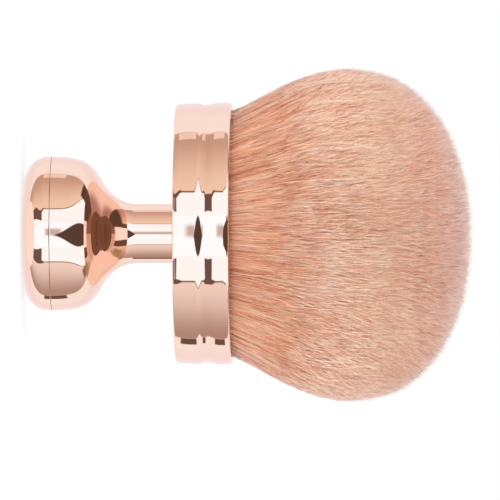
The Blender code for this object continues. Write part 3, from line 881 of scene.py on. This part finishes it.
def bristle_pieces(random, material, kind, laid):
    """Make every bristle of one kind, in pieces of a size that exports well."""
    count = laid.angles.size
    own = random.random((3, count))
    taper = kind.radius * np.interp(kind.ring_shares, TAPER_PLACE_SHARES, TAPER_SHARES)
    radii = taper * np.interp(own[0], (0, 1), THICKNESS_SHARES)[:, None]
    corners, normals = strand_skin(laid.points, radii, own[1] * math.tau, laid.outward)
    wisps = wisp_shades(random, laid, kind.wisp)
    shade = np.dot(SHADE_SHARES, [*(trait[1] for trait in laid.traits), wisps, own[2]])
    spread = ((shade - 0.5) * kind.shade_spread + 0.5) * SHADES
    shades = np.clip(spread, 0, SHADES - 1).astype(int)
    for index, low in enumerate(range(0, count, kind.per_piece)):
        part = slice(low, low + kind.per_piece)
        name = f"bristles_{kind.label}_{index + 1}"
        mesh = strands_mesh(name, corners[part], normals[part], shades[part])
        add_piece(mesh, name, material, "bristle", "bristle_bundle")


def long_bristles(random):
    """The outer bristles at full length: they fan out from the ferrule as the head does."""
    picks = np.sqrt(random.random(LONG_BRISTLES))
    shares = np.interp(picks, (0, 1), (LONG_SHARE_FROM, DENSE_SHARE_TO))
    loose = random.random(LONG_BRISTLES) < LOOSE_SHARE
    shares[loose] = np.interp(picks[loose], (0, 1), (1, DENSE_SHARE_TO))
    angles = random.random(LONG_BRISTLES) * math.tau
    traits = lock_traits(random, angles, shares)
    fan, dome = np.array(bulge_outline()), np.array(dome_outline())[::-1]
    places = shares * BULGE_RADIUS
    tips = np.interp(places, dome[:, 0], dome[:, 1]) - tip_drops(random, LONG_BRISTLES)
    slopes = np.interp(places, dome[:, 0], np.gradient(dome[:, 1], dome[:, 0]))
    steps = np.array((*LONG.ring_shares, 1))
    start = FERRULE_MOUTH - ROOT_SINK
    heights = start + (tips - start)[:, None] * steps
    radial = shares[:, None] * np.interp(heights, fan[:, 1], fan[:, 0])
    points = laid_out(random, angles, radial, heights, traits)
    # The lower half of the head faces sideways, and then it turns to face as the dome does
    near_tip = np.clip(2 * steps - 1, 0, 1)
    facings = np.arctan(-slopes)[:, None] * near_tip + math.pi / 2 * (1 - near_tip)
    return Laid(angles, places, traits, points, outward_directions(angles, facings))


def surface_spots(random, count):
    """Spots spread evenly over the head: place, radius, height and facing of each."""
    outline = np.array(dome_outline()[::-1] + bulge_outline()[::-1][1:])
    lengths = np.hypot(*np.diff(outline, axis=0).T)
    middles = (outline[1:] + outline[:-1]) / 2
    dense = np.interp(middles[:, 1], (SPLAYED_FROM, SPLAYED_ALL_FROM), (0, 1))
    chance = np.concatenate([[0], np.cumsum(lengths * middles[:, 0] * dense)])
    reach = np.concatenate([[0], np.cumsum(lengths)])
    places = np.interp(random.random(count), chance / chance[-1], reach)
    across, down = np.gradient(outline[:, 0]), -np.gradient(outline[:, 1])
    sides = (outline[:, 0], outline[:, 1], np.arctan2(down, across))
    return places, *(np.interp(places, reach, side) for side in sides)


def short_bristles(random):
    """The ends of the bristles that splay out from within, all over the head's surface."""
    places, radii, tops, facings = surface_spots(random, SHORT_BRISTLES)
    angles = random.random(SHORT_BRISTLES) * math.tau
    traits = lock_traits(random, angles, radii / BULGE_RADIUS)
    leans = SPLAY * np.where(tops > BULGE, radii / BULGE_RADIUS, 1)
    drops = tip_drops(random, SHORT_BRISTLES)
    rooms = (tops - FERRULE_MOUTH + ROOT_SINK) / np.cos(leans) - drops
    lengths = np.minimum(SHORT_LENGTH, rooms)
    steps = np.array((*SHORT.ring_shares, 1))
    back = drops[:, None] + lengths[:, None] * (1 - steps)
    radial = radii[:, None] - np.sin(leans)[:, None] * back
    heights = tops[:, None] - np.cos(leans)[:, None] * back
    points = laid_out(random, angles, radial, heights, traits)
    outward = outward_directions(angles, np.repeat(facings[:, None], steps.size, axis=1))
    return Laid(angles, places, traits, points, outward)


def bristle_core():
    """The plain core under the bristles, a little inside the head's outline."""
    section = [(0, ROOT_TOP), (MOUTH_RADIUS * CORE_SHARE, ROOT_TOP)]
    section += [(radius * CORE_SHARE, height) for radius, height in bulge_outline()]
    crown = [(radius * CORE_SHARE, height - CORE_DROP) for radius, height in dome_outline()]
    section += [point for point in crown if point[1] > BULGE]
    mesh = turned("bristle_core", section)
    add_piece(mesh, "bristle_core", core_material(), "bristle", "bristle_bundle")


def bristle_head():
    """The whole head: the long outer bristles, the splayed ends, and the core."""
    random = np.random.default_rng(SEED)
    fibre = bristle_material()
    bristle_pieces(random, fibre, LONG, long_bristles(random))
    bristle_pieces(random, fibre, SHORT, short_bristles(random))
    bristle_core()


# Studio


def floor():
    """A white table under the brush: it shows as white with the brush's soft shadow."""
    mesh = bpy.data.meshes.new("table")
    half = TABLE_SIDE / 2
    corners = [(-half, -half, 0), (half, -half, 0), (half, half, 0), (-half, half, 0)]
    mesh.from_pydata(corners, [], [(0, 1, 2, 3)])
    table = bpy.data.objects.new("table", mesh)
    bpy.context.scene.collection.objects.link(table)
    table.visible_glossy = False
    material, tree, shader = new_material("white_table")
    shader.inputs["Base Color"].default_value = (*TABLE_COLOUR, 1)
    shader.inputs["Roughness"].default_value = 1
    shader.inputs["Specular IOR Level"].default_value = 0
    glow = tree.nodes.new("ShaderNodeEmission")
    mix = tree.nodes.new("ShaderNodeMixShader")
    rays = tree.nodes.new("ShaderNodeLightPath")
    share = step_value(tree, "MULTIPLY", rays.outputs["Is Camera Ray"], TABLE_GLOW_SHARE)
    fill(tree, mix, (share, shader.outputs[0], glow.outputs[0]))
    tree.links.new(mix.outputs[0], tree.nodes["Material Output"].inputs["Surface"])
    mesh.materials.append(material)


def camera():
    """The photograph's long lens, square to the brush and tipped a little to its bristle side."""
    data = bpy.data.cameras.new("camera")
    data.sensor_width = SENSOR
    data.lens = SENSOR * CAMERA_DISTANCE / (PIXEL * PICTURE_SIDE)
    data.clip_start, data.clip_end = CAMERA_CLIP
    eye = bpy.data.objects.new("camera", data)
    bpy.context.scene.collection.objects.link(eye)
    back = Vector((0, -math.cos(CAMERA_TILT), math.sin(CAMERA_TILT)))
    right = Vector((0, math.sin(CAMERA_TILT), math.cos(CAMERA_TILT)))
    up = back.cross(right)
    middle = PICTURE_SIDE / 2
    target = right * (middle - FOOT_COLUMN) * PIXEL + up * (AXIS_ROW - middle) * PIXEL
    where = Matrix((right, up, back)).transposed().to_4x4()
    where.translation = target + back * CAMERA_DISTANCE
    eye.matrix_world = where
    bpy.context.scene.camera = eye


def backdrop(tree, colour, strength=1.0):
    """One plain or painted background of the world."""
    node = tree.nodes.new("ShaderNodeBackground")
    fill(tree, node, (colour, strength))
    return node.outputs[0]


def chosen(tree, ray, other, seen):
    """One background for a kind of ray, and another for all other rays."""
    node = tree.nodes.new("ShaderNodeMixShader")
    fill(tree, node, (ray, other, seen))
    return node.outputs[0]


def world():
    """White studio: plain light, a white background, and the panels that the plating mirrors."""
    studio = bpy.data.worlds.new("studio")
    bpy.context.scene.world = studio
    studio.use_nodes = True
    tree = studio.node_tree
    tree.nodes.clear()
    rays = tree.nodes.new("ShaderNodeLightPath").outputs
    plain = backdrop(tree, (*SKY_COLOUR, 1), SKY_LIGHT)
    white = backdrop(tree, (1, 1, 1, 1))
    twice, deep = (fade(tree, rays["Ray Depth"], *depths) for depths in (TWICE, DEEP_BOUNCES))
    mirrored = backdrop(tree, blended(tree, deep, panorama(tree, twice), DEEP_COLOUR))
    whole = chosen(tree, rays["Is Camera Ray"], plain, white)
    whole = chosen(tree, rays["Is Glossy Ray"], whole, mirrored)
    output = tree.nodes.new("ShaderNodeOutputWorld")
    tree.links.new(whole, output.inputs["Surface"])


def past(tree, value, edge, soft):
    """0 before an edge and 1 after it."""
    return fade(tree, step_value(tree, "SUBTRACT", value, edge), -soft, soft)


def both(tree, first, second):
    """1 where two shares are both 1."""
    return step_value(tree, "MULTIPLY", first, second)


def off(tree, value, middle):
    """How far a value is from a middle."""
    return step_value(tree, "ABSOLUTE", step_value(tree, "SUBTRACT", value, middle))


def directions(tree):
    """The turn, rise and fall of the direction that a ray leaves in, in degrees."""
    x, y, z = separated(tree, coordinates(tree, "Generated"))
    up = step_value(tree, "MULTIPLY", x, -1.0)
    forward = step_value(tree, "MULTIPLY", y, -1.0)
    turn = step_value(tree, "DEGREES", step_value(tree, "ARCTAN2", up, forward))
    rise = step_value(tree, "DEGREES", step_value(tree, "ARCSINE", z))
    fall = step_value(tree, "MULTIPLY", rise, -1.0)
    right = step_value(tree, "MAXIMUM", rise, 0.0)
    left = step_value(tree, "MAXIMUM", fall, 0.0)
    return SimpleNamespace(turn=turn, rise=rise, fall=fall, right=right, left=left)


def edge_turn(tree, way, edge):
    """The turn of a card's edge, which moves with the square of the rise and of the fall."""
    start, right_share, left_share = edge
    right = step_value(tree, "MULTIPLY", way.right, way.right)
    left = step_value(tree, "MULTIPLY", way.left, way.left)
    turn = step_value(tree, "MULTIPLY_ADD", right, right_share, float(start))
    return step_value(tree, "MULTIPLY_ADD", left, left_share, turn)


def side_turn(tree, way, card):
    """The turn from the camera towards a card."""
    return step_value(tree, "MULTIPLY", way.turn, float(card.side))


def front_turns(tree, way):
    """Where the cards' front edges lie. The upper one dips at a corner of the studio."""
    corner = [past(tree, way.fall, *edge) for edge in zip(CORNER_FALLS, CORNER_SOFT)]
    dip = step_value(tree, "MULTIPLY", step_value(tree, "SUBTRACT", *corner), -CORNER_DIP)
    upper, lower = (edge_turn(tree, way, card.front) for card in CARDS)
    return step_value(tree, "ADD", upper, dip), lower


def walls(tree, way, fronts):
    """The white walls, less white behind, with the bright window between the cards."""
    side = fade(tree, step_value(tree, "ABSOLUTE", way.turn), *SIDE_TURNS)
    colour = blended(tree, side, WHITE_WALL, SIDE_WALL)
    turns = [side_turn(tree, way, card) for card in CARDS]
    before = [past(tree, front, turn, CRISP) for front, turn in zip(fronts, turns)]
    return blended(tree, both(tree, *before), colour, WINDOW)


def with_patches(tree, way, colour, patches):
    """The studio with rectangles added, each over those before it."""
    for patch in patches:
        turn = past(tree, float(patch.turn_half), off(tree, way.turn, patch.turn), patch.soft)
        rise = past(tree, float(patch.rise_half), off(tree, way.rise, patch.rise), patch.soft)
        colour = blended(tree, both(tree, turn, rise), colour, patch.colour)
    return colour


def with_room(tree, way, colour):
    """The studio with the dark room to the right of the camera, narrow and then wide."""
    near = step_value(tree, "DIVIDE", way.right, ROOM_REACH)
    near = step_value(tree, "MULTIPLY", step_value(tree, "POWER", near, ROOM_POWER), -1.0)
    near = step_value(tree, "EXPONENT", near)
    half = step_value(tree, "MULTIPLY_ADD", near, -ROOM_HALF, ROOM_HALF)
    inside = past(tree, half, off(tree, way.turn, ROOM_MIDDLE), ROOM_SOFT)
    share = both(tree, inside, past(tree, way.rise, ROOM_START, SOFT))
    return blended(tree, share, colour, ROOM)


def with_gap(tree, way, colour, card, front):
    """The studio with the dark gap between the window and one card's left end."""
    turn = side_turn(tree, way, card)
    inner = edge_turn(tree, way, (card.gap_turn, 0.0, GAP_WIDENING))
    share = both(tree, past(tree, turn, inner, CRISP), past(tree, front, turn, CRISP))
    share = both(tree, share, past(tree, way.fall, GAP_FALL, SOFT))
    return blended(tree, share, colour, GAP)


def with_card(tree, way, colour, card, front):
    """The studio with one card, lighter towards the camera, behind a thin dark edge."""
    turn = side_turn(tree, way, card)
    back = edge_turn(tree, way, card.back)
    share = both(tree, past(tree, turn, front, CRISP), past(tree, back, turn, SOFT))
    along = fade(tree, step_value(tree, "SUBTRACT", turn, front), 0.0, card.span)
    colour = blended(tree, share, colour, blended(tree, along, card.near, card.far))
    growth = past(tree, way.fall, CARD_EDGE_FALL, CARD_EDGE_SOFT)
    half = step_value(tree, "MULTIPLY_ADD", growth, CARD_EDGE_GROWTH, CARD_EDGE_HALF)
    return blended(tree, past(tree, half, off(tree, turn, front), CRISP), colour, CARD_EDGE)


def panorama(tree, twice):
    """The studio as the plating mirrors it, by direction, from the walls to the nearest gear.

    twice says where a ray is mirrored a second time.
    """
    way = directions(tree)
    fronts = front_turns(tree, way)
    colour = with_patches(tree, way, walls(tree, way, fronts), WINDOW_PATCHES)
    colour = with_room(tree, way, colour)
    for card, front in zip(CARDS, fronts):
        colour = with_gap(tree, way, colour, card, front)
    for card, front in zip(CARDS, fronts):
        colour = with_card(tree, way, colour, card, front)
    colour = with_patches(tree, way, colour, GEAR_PATCHES)
    colour = blended(tree, past(tree, way.fall, FAR_END_FALL, SOFT), colour, FAR_END)
    return blended(tree, twice, colour, with_patches(tree, way, colour, NEAR_PATCHES))


def add_lamp(lamp):
    """Set up one lamp, which neither the camera nor the plating sees."""
    data = bpy.data.lights.new(lamp.name, "AREA")
    data.shape = "DISK"
    data.size = lamp.size
    data.energy = lamp.power
    thing = bpy.data.objects.new(lamp.name, data)
    bpy.context.scene.collection.objects.link(thing)
    thing.location = lamp.place
    aim = Vector((0, 0, BULGE)) - thing.location
    thing.rotation_euler = aim.to_track_quat("-Z", "Y").to_euler()
    thing.visible_glossy = False
    thing.visible_camera = False


def dress_inner_nodes():
    """Materials for the solids that stay: everything inside the knob and the ferrule."""
    steel = metal_material("machined_steel", *STEEL)
    looks = {
        "weight_ring": steel,
        "flat_washer": steel,
        "lock_washer": steel,
        "assembly_screw": steel,
        "threaded_insert": metal_material("turned_brass", *BRASS),
        "damper_pad": plain_material("black_foam", *FOAM),
        "bristle_cup": plain_material("moulded_cup", *MOULDING),
        "glue_plug": plain_material("cast_epoxy", *EPOXY),
        "root_binding": plain_material("wound_thread", *THREAD),
    }
    for name, material in looks.items():
        for holder in frame["nodes"][name].material_slots:
            holder.material = material


camera()
world()
for lamp in LAMPS:
    add_lamp(lamp)
floor()
plating = plating_material()
knob_pieces(plating)
ferrule_piece(plating)
bristle_head()
dress_inner_nodes()
bpy.context.scene.view_settings.view_transform = "Standard"
